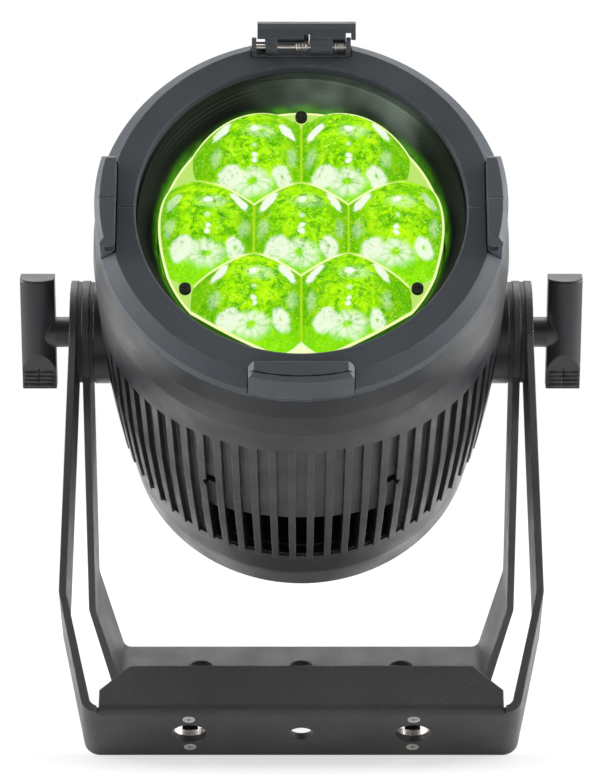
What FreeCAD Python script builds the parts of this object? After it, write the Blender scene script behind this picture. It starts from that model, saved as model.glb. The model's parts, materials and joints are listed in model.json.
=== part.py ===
import FreeCAD, Part
import math
import os

# A zoom par can light for a stage: a finned can with a seven-lens cluster, standing on two
# U-shaped yokes that open like a pair of compasses.  Millimetres, +Z up, -Y to the front,
# +X to the right as seen from the front.  The origin is on the floor, under the middle of
# the light.  The can is built along its own +Z (the beam), with its own +Y to its top.

V = FreeCAD.Vector
X_AXIS = V(1, 0, 0)
Z_AXIS = V(0, 0, 1)

# ---- stance ---------------------------------------------------------------------------
BEAM_ELEVATION = 32.6        # beam above the horizontal, degrees
OUTER_LEG_DROP = 51.6        # outer yoke below the horizontal, towards the front
OUTER_REACH = 259.2          # tilt pivot to the middle of the outer base plate
INNER_REACH = 225.0          # tilt pivot to the middle of the inner base plate
PIVOT_Y = 6.47               # puts the origin under the middle of the light's box
YOKE_WIDTH = 48.0
YOKE_PLATE = 4.0

# ---- stack on the tilt axis, distances from the middle of the light --------------------
BOSS_FACE = 118.0
INNER_EAR = 120.8            # inner face of the inner yoke's ear
OUTER_EAR = 127.6            # inner face of the outer yoke's ear
EAR_RADIUS = 29.5
STUD_RADIUS = 5.95
EAR_BORE = 6.0
KNOB_STEM = (132.7, 141.0)
KNOB_BAR = (141.0, 160.5)

# ---- can, radii and stations along the beam --------------------------------------------
BEZEL_RADIUS = 112.0
BEZEL_LIP = 90.0
BEZEL_FACE = 142.0
BEZEL_SEAM = 128.0
GROOVE_TOP = 74.0            # front end of the grooves above and below the beam
GROOVE_SAG = 24.0            # how much further back they start at the sides
GROOVE_END = -78.0
BODY_END = -124.0
REAR_FACE = -133.0
REAR_BAND = 104.6            # radius of the plain rear band at its front
GROOVE_COUNT = 68
GROOVE_WIDTH = 6.2
GROOVE_DEPTH = 3.6
VENT_HALF_ANGLE = 29.5       # open grooves, either side of the lowest and highest ones
VENT_TOP = -20.0
DRUM_RADIUS = 95.0
DRUM_END = -26.0
BULKHEAD = (-76.95, -74.95)
BULKHEAD_SCREW_RADIAL = 96.4

# ---- optics ----------------------------------------------------------------------------
LENS_PITCH = 51.8
LENS_PLATE_RADIUS = 78.6
LENS_BACK = 108.0
LENS_APEX = 130.2
LENS_SPHERE = 42.0
GUIDE_RADIUS = 70.0          # guide rods and lead screw, from the beam axis
LENS_SCREW_RADIUS = 74.0
HEATSINK_TOP = 44.0
GLASS = (131.0, 134.4)

# ---- accessory clips ---------------------------------------------------------------------
CLIP_FACE = 152.3
CLIP_CHORD = 100.6           # straight inner edge, from the beam axis
CLIP_HALF = 28.2
CLIP_FLOOR = 130.5
LATCH_FLOOR = 137.6
PIN_RADIAL = 100.7
PIN_STATION = 145.3
PIN_RADIUS = 1.4
SPRING_RADIUS = 2.35
SPRING_WIRE = 0.4            # radius of the wire
FLAP_SPAN = (-24.3, 30.2)      # the flap sits a little to the right of its bracket
EAR_SWEEP = 7.7              # room the flap leaves round the bracket's ears

PIECES = {}


# ---- helpers -------------------------------------------------------------------------------
def box(x_span, y_span, z_span):
    low = V(x_span[0], y_span[0], z_span[0])
    sides = [span[1] - span[0] for span in (x_span, y_span, z_span)]
    return Part.makeBox(*sides, low)


def disc(radius, z_span, x=0.0, y=0.0):
    return Part.makeCylinder(radius, z_span[1] - z_span[0], V(x, y, z_span[0]))


def ring(outer, inner, z_span, x=0.0, y=0.0):
    bore = disc(inner, (z_span[0] - 1, z_span[1] + 1), x, y)
    return disc(outer, z_span, x, y).cut(bore)


def rod_x(radius, x_span, y=0.0, z=0.0):
    return Part.makeCylinder(radius, x_span[1] - x_span[0], V(x_span[0], y, z), X_AXIS)


def tube_x(outer, inner, x_span, y=0.0, z=0.0):
    bore = rod_x(inner, (x_span[0] - 1, x_span[1] + 1), y, z)
    return rod_x(outer, x_span, y, z).cut(bore)


def turned(shape, angle, axis=Z_AXIS, centre=V(0, 0, 0)):
    copy = shape.copy()
    copy.rotate(centre, axis, angle)
    return copy


def moved(shape, x=0.0, y=0.0, z=0.0):
    copy = shape.copy()
    copy.translate(V(x, y, z))
    return copy


def mirrored(shape):
    return shape.mirror(V(0, 0, 0), X_AXIS)


def around(shape, angles):
    return [turned(shape, angle) for angle in angles]


def joined(shapes):
    return shapes[0].multiFuse(shapes[1:]).removeSplitter()


def cut_all(shape, tools):
    return shape.cut(Part.makeCompound(tools))


def revolved(points):
    """A turned solid from (radius, station) points."""
    corners = [V(radius, 0, station) for radius, station in points]
    face = Part.Face(Part.makePolygon(corners + corners[:1]))
    return face.revolve(V(0, 0, 0), Z_AXIS, 360)


def corner_arc(before, corner, after, radius):
    """Start, middle and end of the arc that rounds a corner."""
    back = (before - corner).normalize()
    ahead = (after - corner).normalize()
    half_angle = back.getAngle(ahead) / 2
    bisector = (back + ahead).normalize()
    reach = radius / math.tan(half_angle)
    middle = corner + bisector * (radius / math.sin(half_angle) - radius)
    return corner + back * reach, middle, corner + ahead * reach


def rounded_edges(points, radii, closed):
    edges = []
    count = len(points)
    last = None
    first = None
    for index, (corner, radius) in enumerate(zip(points, radii)):
        if radius > 0:
            start, middle, end = corner_arc(points[index - 1], corner, points[(index + 1) % count], radius)
        else:
            start = end = corner
        if last is not None:
            edges.append(Part.makeLine(last, start))
        if radius > 0:
            edges.append(Part.Arc(start, middle, end).toShape())
        first = first or start
        last = end
    if closed:
        edges.append(Part.makeLine(last, first))
    return Part.Wire(edges)


def prism(points, radii, direction):
    """A closed outline with rounded corners, extruded."""
    if not isinstance(radii, (list, tuple)):
        radii = [radii] * len(points)
    return Part.Face(rounded_edges(points, radii, True)).extrude(direction)


def plate_z(points, radii, z_span):
    corners = [V(x, y, z_span[0]) for x, y in points]
    return prism(corners, radii, V(0, 0, z_span[1] - z_span[0]))


def rectangle(width, height, x=0.0, y=0.0):
    return [(x - width / 2, y - height / 2), (x + width / 2, y - height / 2),
            (x + width / 2, y + height / 2), (x - width / 2, y + height / 2)]


def cable(points, bend, radius):
    """A round cable through the points."""
    radii = [0] + [bend] * (len(points) - 2) + [0]
    path = rounded_edges(points, radii, False)
    start = Part.Wire(Part.makeCircle(radius, points[0], points[1] - points[0]))
    return path.makePipeShell([start], True, False)


def polar(radius, angle):
    return radius * math.cos(math.radians(angle)), radius * math.sin(math.radians(angle))


def screw(radius, length, head_radius, head_height):
    """A cross-head screw along -Z from the underside of its head at z = 0."""
    drive = head_radius * 0.55
    depth = (head_height * 0.4, head_height + 1)
    blades = [box((-drive, drive), (-0.35, 0.35), depth), box((-0.35, 0.35), (-drive, drive), depth)]
    head = cut_all(disc(head_radius, (0, head_height)), blades)
    return head.fuse(disc(radius, (-length, 0)))


def screw_ring(part, radius, angles, z):
    return [moved(part, *polar(radius, angle), z) for angle in angles]


# ---- places of the bodies ------------------------------------------------------------------
def outer_pivot_height():
    drop = math.radians(OUTER_LEG_DROP)
    return (OUTER_REACH + YOKE_PLATE / 2) * math.sin(drop) + YOKE_WIDTH / 2 * math.cos(drop)


def inner_leg_drop():
    """Angle at which the inner yoke's lower edge just reaches the floor."""
    depth = INNER_REACH + YOKE_PLATE / 2
    half = YOKE_WIDTH / 2
    return math.degrees(math.asin(outer_pivot_height() / math.hypot(depth, half)) - math.atan2(half, depth))


PIVOT = V(0, PIVOT_Y, outer_pivot_height())


def place(shape, angle):
    return moved(turned(shape, angle, X_AXIS), PIVOT.x, PIVOT.y, PIVOT.z)


def add(name, shapes, angle):
    solids = shapes if isinstance(shapes, list) else [shapes]
    whole = Part.makeCompound(solids) if len(solids) > 1 else solids[0]
    PIECES[name] = place(whole, angle)


def add_head(name, shapes):
    add(name, shapes, 90 - BEAM_ELEVATION)


def add_outer(name, shapes):
    add(name, shapes, OUTER_LEG_DROP - 90)


def add_inner(name, shapes):
    add(name, shapes, 90 - inner_leg_drop())


# ---- casing --------------------------------------------------------------------------------
SHELL_SCREW_ANGLES = [-117, -63, 63, 117]
SHELL_SCREW_STATION = 8.0
SHELL_RIBS = [(114.8, GROOVE_TOP), (113.3, 0.0), (110.6, -42.0), (107.8, GROOVE_END + 1)]
SHELL_FRONT = [(112.0, 128.0), (114.0, 112.0), (115.0, 94.0)]
SHELL_REAR = [(REAR_BAND, GROOVE_END - 0.5), (103.4, -104.0), (101.2, BODY_END)]
SHELL_INSIDE = [(98.2, BODY_END), (100.4, -104.0), (99.5, -80.0), (99.5, -77.0), (102.3, -42.0), (105.0, 0.0),
                (106.0, 66.0), (110.5, 76.0), (112.0, 94.0), (111.0, 112.0), (109.0, 128.0)]


def groove_angles():
    """Middle of each groove: all round, but not over the two pivot bosses."""
    angles = [-90 + index * 360.0 / GROOVE_COUNT for index in range(GROOVE_COUNT)]
    return [angle for angle in angles if abs(math.cos(math.radians(angle))) < math.cos(math.radians(17.5))]


def groove_start(angle):
    """Front end of a groove, along the beam."""
    return GROOVE_TOP - GROOVE_SAG * math.cos(math.radians(angle)) ** 2


def groove_cutter():
    """Grooves between the ribs, with a small step in one corner of each front end."""
    half = GROOVE_WIDTH / 2
    middle = half - 2.6
    deep = []
    shallow = []
    for angle in groove_angles():
        top = groove_start(angle)
        main = box((90, 130), (-half, half), (GROOVE_END, top - 4.5))
        corner = box((90, 130), (middle - half, half), (top - 4.6, top))
        step = box((90, 130), (-half, middle - half + 0.1), (top - 4.6, top))
        deep.append(turned(main.fuse(corner), angle))
        shallow.append(turned(step, angle))
    return (Part.makeCompound(deep).common(groove_zone(GROOVE_DEPTH)),
            Part.makeCompound(shallow).common(groove_zone(GROOVE_DEPTH / 2)))


def groove_zone(depth):
    outside = [(130, GROOVE_END + 1), (130, GROOVE_TOP)]
    floor = [(radius - depth, station) for radius, station in SHELL_RIBS]
    floor += [(SHELL_RIBS[-1][0] - depth, GROOVE_END), (130, GROOVE_END)]
    return revolved(floor + outside)


def vents():
    """Grooves that are open to the inside, at the bottom and top of the can."""
    half = GROOVE_WIDTH / 2
    slots = []
    for angle in groove_angles():
        from_bottom = (angle + 90) % 180
        offset = min(from_bottom, 180 - from_bottom)
        if offset < VENT_HALF_ANGLE:
            top = VENT_TOP - 12.0 * (offset / VENT_HALF_ANGLE) ** 2
            slots.append(turned(box((90, 120), (-half, half), (GROOVE_END + 1.5, top)), angle))
    return slots


def radial(shape_along_z, angle, station):
    """Turns a part drawn along +Z so that it points outwards at the angle."""
    upright = turned(shape_along_z, 90, V(0, 1, 0))
    return moved(turned(upright, angle), z=station)


def body_shell():
    blank = revolved(SHELL_FRONT + SHELL_RIBS + SHELL_REAR + SHELL_INSIDE)
    shell = cut_all(blank, list(groove_cutter()) + vents())
    ledge = revolved([(100.5, -77.0), (100.5, -84.0), (94.0, -80.0), (94.0, -77.0)])
    web = revolved([(108.6, 70.0), (109.8, 73.0), (95.1, 73.0), (95.1, 70.0)])
    pads = [radial(disc(6.5, (102.5, 106.5)), a, SHELL_SCREW_STATION) for a in SHELL_SCREW_ANGLES]
    shell = joined([shell, ledge, web] + pads)
    holes = [radial(disc(2.1, (100, 112)), a, SHELL_SCREW_STATION) for a in SHELL_SCREW_ANGLES]
    holes += [radial(disc(4.2, (105, 120)), a, SHELL_SCREW_STATION) for a in SHELL_SCREW_ANGLES]
    holes += [disc(1.52, (-84, -76), *polar(BULKHEAD_SCREW_RADIAL, angle)) for angle in range(0, 360, 60)]
    openings = [rod_x(EAR_RADIUS + 0.15, (80, 130)), rod_x(EAR_RADIUS + 0.15, (-130, -80))]
    return cut_all(shell, holes + openings)


def inner_drum():
    tube = ring(DRUM_RADIUS, 92.0, (DRUM_END, 117.0))
    flange = ring(108.4, 92.0, (117.0, 121.0))
    shoulder = ring(92.5, 84.0, (31.0, 36.0))
    bosses = [radial(disc(5.0, (93.5, 102.4)), a, SHELL_SCREW_STATION) for a in SHELL_SCREW_ANGLES]
    drum = joined([tube, flange, shoulder] + bosses)
    holes = [radial(disc(2.02, (90, 110)), a, SHELL_SCREW_STATION) for a in SHELL_SCREW_ANGLES]
    holes += [disc(2.1, (116, 122), *polar(102.5, angle)) for angle in range(15, 375, 45)]
    holes += [disc(1.52, (30, 37), *polar(88, angle)) for angle in range(0, 360, 60)]
    scallops = [radial(disc(4.2, (80, 100)), angle, DRUM_END) for angle in range(0, 360, 12)]
    boss_holes = []
    for side in (1, -1):
        for angle in range(45, 405, 90):
            y, z = polar(20, angle)
            boss_holes.append(rod_x(2.02, (85, 100) if side > 0 else (-100, -85), y, z))
    return cut_all(drum, holes + scallops + boss_holes)


def shell_screws():
    part = moved(screw(2.0, 9.0, 3.6, 2.4), z=105.0)
    return [radial(part, angle, SHELL_SCREW_STATION) for angle in SHELL_SCREW_ANGLES]


def pivot_boss():
    """Round boss between the drum and the yoke's ear, right-hand side."""
    boss = rod_x(EAR_RADIUS, (82, BOSS_FACE)).cut(disc(DRUM_RADIUS + 0.05, (-60, 60)))
    tools = [rod_x(STUD_RADIUS + 0.02, (80, 130))]
    for angle in range(45, 405, 90):
        y, z = polar(20, angle)
        tools.append(rod_x(2.1, (80, 130), y, z))
        tools.append(Part.makeCone(2.1, 4.1, 2.0, V(BOSS_FACE - 2.0, y, z), X_AXIS))
    return cut_all(boss, tools)


def boss_screws():
    """Countersunk screws under the friction washer, right-hand side."""
    parts = []
    for angle in range(45, 405, 90):
        y, z = polar(20, angle)
        head = Part.makeCone(2.0, 3.9, 1.9, V(BOSS_FACE - 2.0, y, z), X_AXIS)
        cross = [box((BOSS_FACE - 1.2, BOSS_FACE + 1), (y - 1.6, y + 1.6), (z - 0.3, z + 0.3)),
                 box((BOSS_FACE - 1.2, BOSS_FACE + 1), (y - 0.3, y + 0.3), (z - 1.6, z + 1.6))]
        parts.append(cut_all(head.fuse(rod_x(2.0, (92.0, BOSS_FACE - 2.0), y, z)), cross))
    return parts


def pivot_stud():
    stud = rod_x(STUD_RADIUS, (96.5, 134.0)).fuse(rod_x(5.0, (134.0, 152.0)))
    flats = [box((96.0, 97.5), (-7, 7), (4.5, 7)), box((96.0, 97.5), (-7, 7), (-7, -4.5))]
    return cut_all(stud, flats)


# ---- front bezel and accessory clips ---------------------------------------------------------
CLIP_SCREW_OFFSET = 17.0
CLIP_SCREW_RADIAL = 103.6
CLIP_ANGLES = [180, 0, -90]     # left, right, bottom


def bezel_ring():
    profile = [(BEZEL_LIP, 136.0), (BEZEL_LIP, BEZEL_FACE - 0.8), (BEZEL_LIP + 0.8, BEZEL_FACE),
               (104.5, BEZEL_FACE), (BEZEL_RADIUS, 134.5), (BEZEL_RADIUS, BEZEL_SEAM + 0.1),
               (108.4, BEZEL_SEAM + 0.1), (108.4, 121.1), (97.5, 121.1), (97.5, 136.0)]
    notch = box((99.9, 125), (-CLIP_HALF - 0.5, CLIP_HALF + 0.5), (CLIP_FLOOR, 160))
    latch_notch = box((-28.0, 28.0), (96.0, 125), (LATCH_FLOOR, 160))
    holes = []
    for angle in CLIP_ANGLES:
        for offset in (-CLIP_SCREW_OFFSET, CLIP_SCREW_OFFSET):
            hole = disc(1.52, (123, 140), CLIP_SCREW_RADIAL, offset)
            holes.append(turned(hole, angle))
    holes += [disc(1.52, (124, 140), x, 104.0) for x in (-21.0, 21.0)]
    holes += [disc(1.9, (120, 127.5), *polar(102.5, angle)) for angle in range(15, 375, 45)]
    return cut_all(revolved(profile), around(notch, CLIP_ANGLES) + [latch_notch] + holes)


def bezel_halves():
    whole = bezel_ring()
    gap = 0.15
    upper = whole.common(box((-130, 130), (gap, 130), (100, 170)))
    lower = whole.common(box((-130, 130), (-130, -gap), (100, 170)))
    return upper, lower


def accessory_clip(angle):
    """Hooked block that holds a colour frame against the bezel."""
    half = CLIP_HALF
    outline = [V(CLIP_CHORD, -half, CLIP_FLOOR + 0.1), V(113, -half, CLIP_FLOOR + 0.1),
               V(113, half, CLIP_FLOOR + 0.1), V(CLIP_CHORD, half, CLIP_FLOOR + 0.1)]
    block = prism(outline, [2.2, 0, 0, 2.2], V(0, 0, CLIP_FACE - CLIP_FLOOR - 0.1))
    crown = revolved([(60, 120), (BEZEL_RADIUS, 120), (BEZEL_RADIUS, 149.3), (109.0, CLIP_FACE),
                      (60, CLIP_FACE)])
    block = block.common(crown)
    frame_slot = box((90, 106.3), (-40, 40), (142.4, 147.4))
    end_cuts = []
    for side in (1, -1):
        corner = [V(90, side * (half - 3.2), CLIP_FACE), V(90, side * half, CLIP_FACE - 4.0),
                  V(90, side * (half + 2), CLIP_FACE - 4.0), V(90, side * (half + 2), CLIP_FACE + 2),
                  V(90, side * (half - 3.2), CLIP_FACE + 2)]
        end_cuts.append(prism(corner, 0, V(30, 0, 0)))
    holes = [disc(1.6, (120, 145), CLIP_SCREW_RADIAL, y) for y in (-CLIP_SCREW_OFFSET, CLIP_SCREW_OFFSET)]
    tools = [frame_slot] + end_cuts + holes
    if angle != -90:
        tools.append(box((99, 115), (-0.25, 0.25), (CLIP_FACE - 0.7, CLIP_FACE + 1)))
        tools.append(box((BEZEL_RADIUS - 0.7, 115), (-0.25, 0.25), (100, CLIP_FACE + 1)))
    else:
        tools.append(ring(109.4, 108.8, (CLIP_FACE - 2.6, CLIP_FACE + 1)))
    return turned(cut_all(block, tools), angle)


def clip_screws():
    parts = []
    for angle in CLIP_ANGLES:
        for offset in (-CLIP_SCREW_OFFSET, CLIP_SCREW_OFFSET):
            part = moved(screw(1.5, 18.0, 2.6, 1.8), CLIP_SCREW_RADIAL, offset, 142.45)
            parts.append(turned(part, angle))
    return parts


def latch_bracket():
    floor = LATCH_FLOOR + 0.1
    base = box((-27.4, 27.4), (96.3, 108.0), (floor, floor + 1.6))
    lip = box((-27.4, 27.4), (96.3, 97.3), (floor, 142.4))
    ears = []
    for x in (-27.4, 24.9):
        outline = [V(x, 96.3, floor), V(x, 108.0, floor), V(x, 105.5, 148.6), V(x, 96.3, 148.6)]
        ears.append(prism(outline, [0, 0, 2.5, 2.5], V(2.5, 0, 0)))
    bracket = joined([base, lip] + ears)
    holes = [disc(1.6, (130, 145), x, 104.0) for x in (-21.0, 21.0)]
    pin_hole = rod_x(PIN_RADIUS + 0.02, (-40, 40), PIN_RADIAL, PIN_STATION)
    return cut_all(bracket, holes + [pin_hole])


def latch_flap():
    """Spring-loaded flap on its pin: a lipped plate, a skirt behind the pin, and two knuckles."""
    low, high = FLAP_SPAN
    section = [V(low, 104.9, 143.0), V(low, 106.2, 143.0), V(low, 107.6, 148.2), V(low, 112.4, 148.2),
               V(low, 113.6, 149.4), V(low, 113.6, 151.2), V(low, 111.0, 152.8), V(low, 108.6, 150.6),
               V(low, 103.4, 149.8), V(low, 103.4, 148.0), V(low, 104.9, 147.2)]
    plate = prism(section, [0.3, 0.3, 0.6, 0.4, 0.4, 0.5, 0.5, 0.3, 0.4, 0.3, 0.2], V(high - low, 0, 0))
    corner = box((low - 1, low + 4.2), (100, 107.4), (140, 149.0))
    parts = [plate.cut(corner)]
    for x_span in ((-19.6, -13.3), (5.2, 17.3)):
        parts.append(rod_x(3.9, x_span, PIN_RADIAL, PIN_STATION))
        parts.append(box(x_span, (PIN_RADIAL, 105.6), (146.2, 149.2)))
    flap = joined(parts)
    bore = rod_x(PIN_RADIUS + 0.05, (-40, 40), PIN_RADIAL, PIN_STATION)
    ear_spans = ((-27.6, -24.7), (24.7, 27.6))
    ear_room = [rod_x(EAR_SWEEP, x_span, PIN_RADIAL, PIN_STATION) for x_span in ear_spans]
    overhang = box((27.5, high + 1), (100, 110), (140, 147.8))
    leg_slot = box((1.4, 5.0), (100, 105.6), (140, 160))
    return cut_all(flap, [bore, leg_slot, overhang] + ear_room)


def latch_pin():
    return rod_x(PIN_RADIUS, (-27.2, 27.2), PIN_RADIAL, PIN_STATION)


def coil(x_span, turns, radius, wire):
    length = x_span[1] - x_span[0]
    helix = Part.makeLongHelix(length / turns, length, radius)
    start = Part.Wire(Part.makeCircle(wire, V(radius, 0, 0), V(0, 1, 0)))
    spring = helix.makePipeShell([start], True, True)
    return moved(turned(spring, 90, V(0, 1, 0)), x_span[0], PIN_RADIAL, PIN_STATION)


def latch_springs():
    """Torsion springs on the pin; the long one bears on the flap and on the bracket."""
    start, end = -3.6, 4.4
    flap_end = V(end, PIN_RADIAL, PIN_STATION + SPRING_RADIUS)
    bracket_end = V(start, PIN_RADIAL, PIN_STATION - SPRING_RADIUS)
    legs = [Part.makeCylinder(SPRING_WIRE, 5.6, flap_end, V(0, 0.75, 0.66)),
            Part.makeCylinder(SPRING_WIRE, 3.5, bracket_end, V(0, 0, -1))]
    main_coil = coil((start, end), 4.5, SPRING_RADIUS, SPRING_WIRE)
    side_coil = coil((17.9, 23.9), 4, SPRING_RADIUS, SPRING_WIRE)
    return [main_coil.fuse(legs), side_coil]


def latch_screws():
    return [moved(screw(1.5, 9.0, 2.3, 1.0), x, 104.0, LATCH_FLOOR + 1.75) for x in (-21.0, 21.0)]


def bezel_screws():
    part = turned(screw(1.85, 9.5, 3.4, 2.6), 180, X_AXIS)
    return screw_ring(part, 102.5, range(15, 375, 45), 116.95)


# ---- optics ----------------------------------------------------------------------------------
LENS_CENTRES = [(0.0, 0.0)] + [polar(LENS_PITCH, angle) for angle in range(0, 360, 60)]
LENS_SCREW_ANGLES = [90, 210, 330]
GUIDE_ANGLES = [30, 150, 270]
LEAD_SCREW_ANGLE = 90
ZOOM_ROD_END = 83.0
LEAD_RADIUS = GUIDE_RADIUS - 3


def front_gasket():
    return ring(97.4, 90.6, (134.45, 135.95))


def front_glass():
    return disc(97.3, GLASS)


def inner_barrel():
    """Dark cone between the glass and the lens plate."""
    top = GLASS[0] - 0.05
    return revolved([(88.8, top), (97.3, top), (97.3, 121.1), (91.8, 121.1), (81.9, 111.5),
                     (81.9, 100.0), (79.6, 100.0), (79.6, 112.0)])


def lens_plate():
    """Seven domes that run into each other in arched valleys, on one flat base."""
    base = disc(LENS_PLATE_RADIUS, (LENS_BACK, 112.0))
    limit = disc(LENS_PLATE_RADIUS, (110.0, 140.0))
    centre_height = LENS_APEX - LENS_SPHERE
    domes = [Part.makeSphere(LENS_SPHERE, V(x, y, centre_height)).common(limit) for x, y in LENS_CENTRES]
    bosses = [disc(4.4, (111.0, 114.6), *polar(LENS_SCREW_RADIUS - 1.5, a)) for a in LENS_SCREW_ANGLES]
    plate = joined([base] + domes + bosses)
    holes = [disc(1.6, (100, 120), *polar(LENS_SCREW_RADIUS - 1.0, a)) for a in LENS_SCREW_ANGLES]
    rebates = [disc(3.6, (114.6, 130), *polar(LENS_SCREW_RADIUS - 1.0, a)) for a in LENS_SCREW_ANGLES]
    return cut_all(plate, holes + rebates)


def lens_screws():
    part = screw(1.5, 9.0, 3.3, 2.8)
    return screw_ring(part, LENS_SCREW_RADIUS - 1.0, LENS_SCREW_ANGLES, 114.65)


def lens_carrier():
    """Moving frame behind the lens plate, with three guide sleeves and a nut post."""
    frame = disc(LENS_PLATE_RADIUS, (104.0, LENS_BACK - 0.02))
    windows = [disc(23.2, (100, 110), x, y) for x, y in LENS_CENTRES]
    frame = cut_all(frame, windows)
    sleeves = [disc(5.6, (72.0, 107.0), *polar(GUIDE_RADIUS, angle)) for angle in GUIDE_ANGLES]
    post = disc(6.5, (72.0, 107.0), *polar(LEAD_RADIUS, LEAD_SCREW_ANGLE))
    carrier = joined([frame] + sleeves + [post])
    tools = [disc(4.02, (60, 106), *polar(GUIDE_RADIUS, angle)) for angle in GUIDE_ANGLES]
    tools.append(disc(4.82, (60, 98), *polar(LEAD_RADIUS, LEAD_SCREW_ANGLE)))
    tools.append(disc(2.6, (97, 106), *polar(LEAD_RADIUS, LEAD_SCREW_ANGLE)))
    tools += [disc(1.52, (104.5, 110), *polar(LENS_SCREW_RADIUS - 1.0, a)) for a in LENS_SCREW_ANGLES]
    return cut_all(carrier, tools)


def guide_bushes():
    return [ring(4.0, 2.55, (72.0, 82.0), *polar(GUIDE_RADIUS, angle)) for angle in GUIDE_ANGLES]


def guide_rods():
    return [disc(2.5, (37.0, ZOOM_ROD_END), *polar(GUIDE_RADIUS, angle)) for angle in GUIDE_ANGLES]


def lead_nut():
    return ring(4.8, 2.05, (72.0, 80.0), *polar(LEAD_RADIUS, LEAD_SCREW_ANGLE))


def lead_screw():
    x, y = polar(LEAD_RADIUS, LEAD_SCREW_ANGLE)
    return joined([disc(2.0, (29.0, ZOOM_ROD_END), x, y), disc(3.5, (44.3, 46.3), x, y),
                   disc(2.8, (46.3, 47.5), x, y)])


def zoom_motor():
    x, y = polar(LEAD_RADIUS, LEAD_SCREW_ANGLE)
    can = disc(11.0, (19.0, 35.9), x, y).fuse(disc(4.4, (35.9, 43.9), x, y))
    lugs = box((x - 15, x + 15), (y - 4, y + 4), (34.6, 35.9))
    return can.fuse(lugs).cut(disc(2.06, (28.5, 50), x, y))


def light_pipes():
    """Tapered hexagonal rods that mix the colours of each emitter."""
    pipes = []
    for x, y in LENS_CENTRES:
        wires = []
        for radius, z in ((6.5, 48.4), (9.5, 80.0)):
            corners = [V(x + polar(radius, a)[0], y + polar(radius, a)[1], z) for a in range(0, 420, 60)]
            wires.append(Part.makePolygon(corners))
        pipes.append(Part.makeLoft(wires, True, True))
    return pipes


def pipe_holder():
    plate = disc(62.0, (72.0, 75.0))
    legs = [disc(3.2, (45.6, 72.0), *polar(54.0, angle)) for angle in (30, 90, 150, 270, 330)]
    holder = joined([plate] + legs)
    windows = []
    for x, y in LENS_CENTRES:
        corners = [(x + polar(9.3, a)[0], y + polar(9.3, a)[1]) for a in range(0, 360, 60)]
        windows.append(plate_z(corners, 0, (70, 77)))
    guides = [disc(7.2, (70, 77), *polar(LEAD_RADIUS, LEAD_SCREW_ANGLE))]
    guides += [disc(6.4, (70, 77), *polar(GUIDE_RADIUS, angle)) for angle in GUIDE_ANGLES]
    return cut_all(holder, windows + guides)


# ---- light engine ------------------------------------------------------------------------------
CABLE_ANGLE = 210
CABLE_RADIAL = 80.0


def led_board():
    board = disc(59.0, (HEATSINK_TOP, 45.6))
    connector = box((-6, 6), (-4, 4), (45.6, 51.6))
    plug = turned(moved(connector, y=53.0), CABLE_ANGLE - 90)
    screws = [disc(1.6, (40, 50), *polar(28.0, angle)) for angle in range(30, 390, 60)]
    return cut_all(board.fuse(plug), screws)


def led_emitters():
    parts = []
    for x, y in LENS_CENTRES:
        base = box((x - 6, x + 6), (y - 6, y + 6), (45.6, 47.0))
        parts.append(base.fuse(Part.makeSphere(7.0, V(x, y, 41.2)).common(disc(5.2, (46.5, 49), x, y))))
    return parts


def led_board_screws():
    return screw_ring(screw(1.5, 7.0, 2.7, 1.8), 28.0, range(30, 390, 60), 45.65)


def heatsink():
    base = disc(91.8, (36.0, HEATSINK_TOP))
    core = disc(26.0, (-30.0, 36.5))
    fin = box((24.0, 83.4), (-0.9, 0.9), (-36.0, 36.5))
    sink = joined([base, core] + around(fin, range(0, 360, 10)))
    motor_x, motor_y = polar(LEAD_RADIUS, LEAD_SCREW_ANGLE)
    cable_x, cable_y = polar(CABLE_RADIAL, CABLE_ANGLE)
    tools = [box((motor_x - 16, motor_x + 16), (motor_y - 12, motor_y + 12), (17.0, 36.0)),
             disc(4.6, (30, 50), motor_x, motor_y), disc(7.0, (-40, 50), cable_x, cable_y)]
    tools += [disc(2.52, (36.5, 50), *polar(GUIDE_RADIUS, angle)) for angle in GUIDE_ANGLES]
    tools += [disc(1.6, (30, 50), *polar(88.0, angle)) for angle in range(0, 360, 60)]
    tools += [disc(1.52, (38, 50), *polar(28.0, angle)) for angle in range(30, 390, 60)]
    return cut_all(sink, tools)


def heatsink_screws():
    return screw_ring(screw(1.5, 12.5, 2.8, 2.2), 88.0, range(0, 360, 60), HEATSINK_TOP + 0.05)


def led_cable():
    x, y = polar(CABLE_RADIAL, CABLE_ANGLE)
    end_x, end_y = polar(53.0, CABLE_ANGLE)
    return cable([V(x, y, -88.9), V(x, y, 60.0), V(end_x, end_y, 60.0), V(end_x, end_y, 51.7)], 5.0, 2.6)


# ---- cooling fan --------------------------------------------------------------------------------
FAN = (-66.0, -42.0)
FAN_BORE = 57.5


def fan_frame():
    half = 59.5
    frame = plate_z(rectangle(2 * half, 2 * half), 9.0, FAN).cut(disc(FAN_BORE, (-70, -40)))
    motor = disc(19.0, (-66.0, -63.0)).fuse(ring(5.0, 4.0, (-63.5, -50.0)))
    struts = around(box((17.0, 58.5), (-2.5, 2.5), (-66.0, -62.8)), range(0, 360, 90))
    frame = joined([frame, motor] + struts)
    corners = [(x, y) for x in (-52.5, 52.5) for y in (-52.5, 52.5)]
    return cut_all(frame, [disc(2.2, (-70, -40), x, y) for x, y in corners])


def fan_stator():
    poles = around(box((5.5, 15.0), (-3.0, 3.0), (-61.5, -52.0)), range(0, 360, 60))
    return joined([ring(7.5, 5.02, (-61.5, -52.0))] + poles).cut(disc(5.02, (-70, -40)))


def fan_bearings():
    return [ring(3.98, 1.55, (-62.9, -58.5)), ring(3.98, 1.55, (-55.0, -50.5))]


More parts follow.
